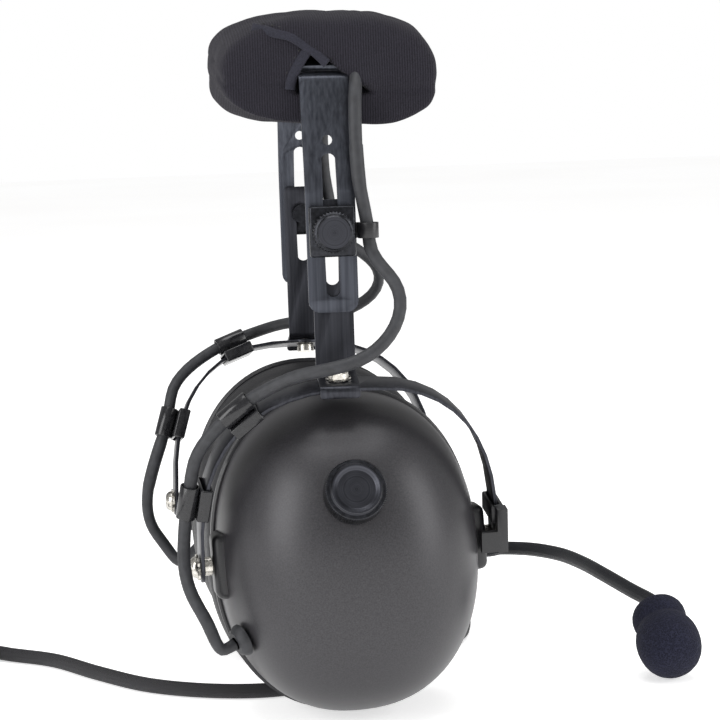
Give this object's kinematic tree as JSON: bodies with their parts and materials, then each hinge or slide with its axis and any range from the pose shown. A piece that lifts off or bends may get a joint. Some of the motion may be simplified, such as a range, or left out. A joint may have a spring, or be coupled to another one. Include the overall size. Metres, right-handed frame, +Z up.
{
  "type": "aviation headset",
  "caption": "Aviation headset: two oval ear cups in steel stirrups on a padded, height-adjustable sprung headband, with a boom microphone and corded plugs.",
  "frame": {"origin": "middle of the head pad's underside, where a head carries the headset", "axes": "+Z up from the ear cups to the headband, +X towards the wearer's front, +Y towards the wearer's left ear"},
  "size_m": [0.3331, 0.3075, 0.2255],
  "materials": {
    "black_steel": "satin black, brushed",
    "cup_shell": "satin charcoal",
    "black_plastic": "glossy black",
    "anodised": "black anodised, knurled",
    "bright_metal": "bright nickel",
    "pad_knit": "ribbed knit",
    "seal_skin": "soft black skin",
    "foam": "open-cell foam",
    "black_rubber": "matte",
    "cord_jacket": "braided, matte"
  },
  "bodies": {
    "headband": {"crown_plate": "black_steel", "crown_spring": "black_steel", "left_crown_rivet": "black_steel", "right_crown_rivet": "black_steel", "head_pad": "pad_knit", "pad_cable": "black_rubber"},
    "right_arm": {"right_arm": "black_steel", "right_arm_cable": "black_rubber"},
    "right_slider": {"right_slide_plate": "black_steel", "right_clamp_block": "anodised", "right_cable_clip": "black_plastic", "right_foot_screw": "bright_metal"},
    "right_clamp": {"right_clamp_knob": "anodised"},
    "right_stirrup": {"right_stirrup": "black_steel", "right_upper_wire_clip": "black_plastic", "right_lower_wire_clip": "black_plastic", "right_front_bracket": "black_plastic", "right_stirrup_cable": "black_rubber"},
    "right_cup": {"right_dome": "cup_shell", "right_seal_plate": "black_plastic", "right_ear_seal": "seal_skin", "right_ear_speaker": "black_plastic", "right_cable_grommet": "black_rubber", "right_front_pivot_screw": "bright_metal", "right_rear_pivot_screw": "bright_metal", "right_cup_cable": "black_rubber"},
    "right_volume": {"right_volume_knob": "anodised"},
    "left_arm": {"left_arm": "black_steel", "left_arm_cable": "black_rubber"},
    "left_slider": {"left_slide_plate": "black_steel", "left_clamp_block": "anodised", "left_cable_clip": "black_plastic", "left_foot_screw": "bright_metal"},
    "left_clamp": {"left_clamp_knob": "anodised"},
    "left_stirrup": {"left_stirrup": "black_steel", "left_upper_wire_clip": "black_plastic", "left_lower_wire_clip": "black_plastic", "left_front_bracket": "black_plastic", "left_stirrup_cable": "black_rubber"},
    "left_cup": {"left_dome": "cup_shell", "left_seal_plate": "black_plastic", "left_ear_seal": "seal_skin", "left_ear_speaker": "black_plastic", "left_cable_grommet": "black_rubber", "left_front_pivot_screw": "bright_metal", "left_rear_pivot_screw": "bright_metal", "left_cup_cable": "black_rubber", "cord_gland": "black_rubber", "main_cord": "cord_jacket", "cord_coil": "cord_jacket", "cord_splitter": "black_rubber", "headphone_tail": "cord_jacket", "mic_tail": "cord_jacket", "headphone_plug": "anodised", "mic_plug": "anodised"},
    "left_volume": {"left_volume_knob": "anodised"},
    "mic_boom": {"boom_clamp": "black_plastic", "boom": "black_steel", "mic_capsule": "black_plastic", "windscreen": "foam"}
  },
  "joints": [
    {"name": "right_flex", "type": "hinge", "parent": "headband", "child": "right_arm", "pos_m": [-0.0025, -0.0528, 0.0075], "axis": [-1, 0, 0], "range_deg": [-3, 20], "stiffness_Nm_per_rad": 3.6, "deforming": ["right_arm_cable"]},
    {"name": "right_height", "type": "slide", "parent": "right_arm", "child": "right_slider", "axis": [0, 0, 1], "range_m": [-0.0183, 0.0045], "deforming": ["right_arm_cable"]},
    {"name": "right_clamp_turn", "type": "hinge", "parent": "right_slider", "child": "right_clamp", "pos_m": [-0.0025, -0.0635, -0.041], "axis": [0, -1, 0], "range_deg": [-360, 0]},
    {"name": "right_swivel", "type": "hinge", "parent": "right_slider", "child": "right_stirrup", "pos_m": [-0.0025, -0.0694, -0.0885], "axis": [0, -0.2487, 0.9686], "range_deg": [-12.5, 1.5], "deforming": ["right_stirrup_cable"]},
    {"name": "right_cup_tilt", "type": "hinge", "parent": "right_stirrup", "child": "right_cup", "pos_m": [0.00021, -0.05515, -0.14295], "axis": [-0.9951, -0.0865, -0.0483], "range_deg": [-12, 12], "deforming": ["right_cup_cable"]},
    {"name": "right_volume_turn", "type": "hinge", "parent": "right_cup", "child": "right_volume", "pos_m": [-0.00074, -0.08872, -0.12018], "axis": [0.0286, -0.9398, 0.3406], "range_deg": [-150, 150]},
    {"name": "left_flex", "type": "hinge", "parent": "headband", "child": "left_arm", "pos_m": [-0.0025, 0.0528, 0.0075], "axis": [1, 0, 0], "range_deg": [-3, 20], "stiffness_Nm_per_rad": 3.6, "deforming": ["left_arm_cable"]},
    {"name": "left_height", "type": "slide", "parent": "left_arm", "child": "left_slider", "axis": [0, 0, 1], "range_m": [-0.0183, 0.0045], "deforming": ["left_arm_cable"]},
    {"name": "left_clamp_turn", "type": "hinge", "parent": "left_slider", "child": "left_clamp", "pos_m": [-0.0025, 0.0635, -0.041], "axis": [0, 1, 0], "range_deg": [-360, 0]},
    {"name": "left_swivel", "type": "hinge", "parent": "left_slider", "child": "left_stirrup", "pos_m": [-0.0025, 0.0694, -0.0885], "axis": [0, 0.2487, 0.9686], "range_deg": [-12.5, 1.5], "deforming": ["left_stirrup_cable"]},
    {"name": "left_cup_tilt", "type": "hinge", "parent": "left_stirrup", "child": "left_cup", "pos_m": [-0.00518, 0.05515, -0.14297], "axis": [0.9954, 0.0907, -0.0323], "range_deg": [-12, 12], "deforming": ["left_cup_cable", "main_cord"]},
    {"name": "left_volume_turn", "type": "hinge", "parent": "left_cup", "child": "left_volume", "pos_m": [-0.0102, 0.08818, -0.11995], "axis": [-0.1103, 0.9325, 0.3439], "range_deg": [-150, 150]},
    {"name": "mic_boom_turn", "type": "hinge", "parent": "left_stirrup", "child": "mic_boom", "pos_m": [0.04557, 0.06815, -0.16815], "axis": [-0.0959, 0.9641, -0.2476], "range_deg": [-65, 20]}
  ]
}
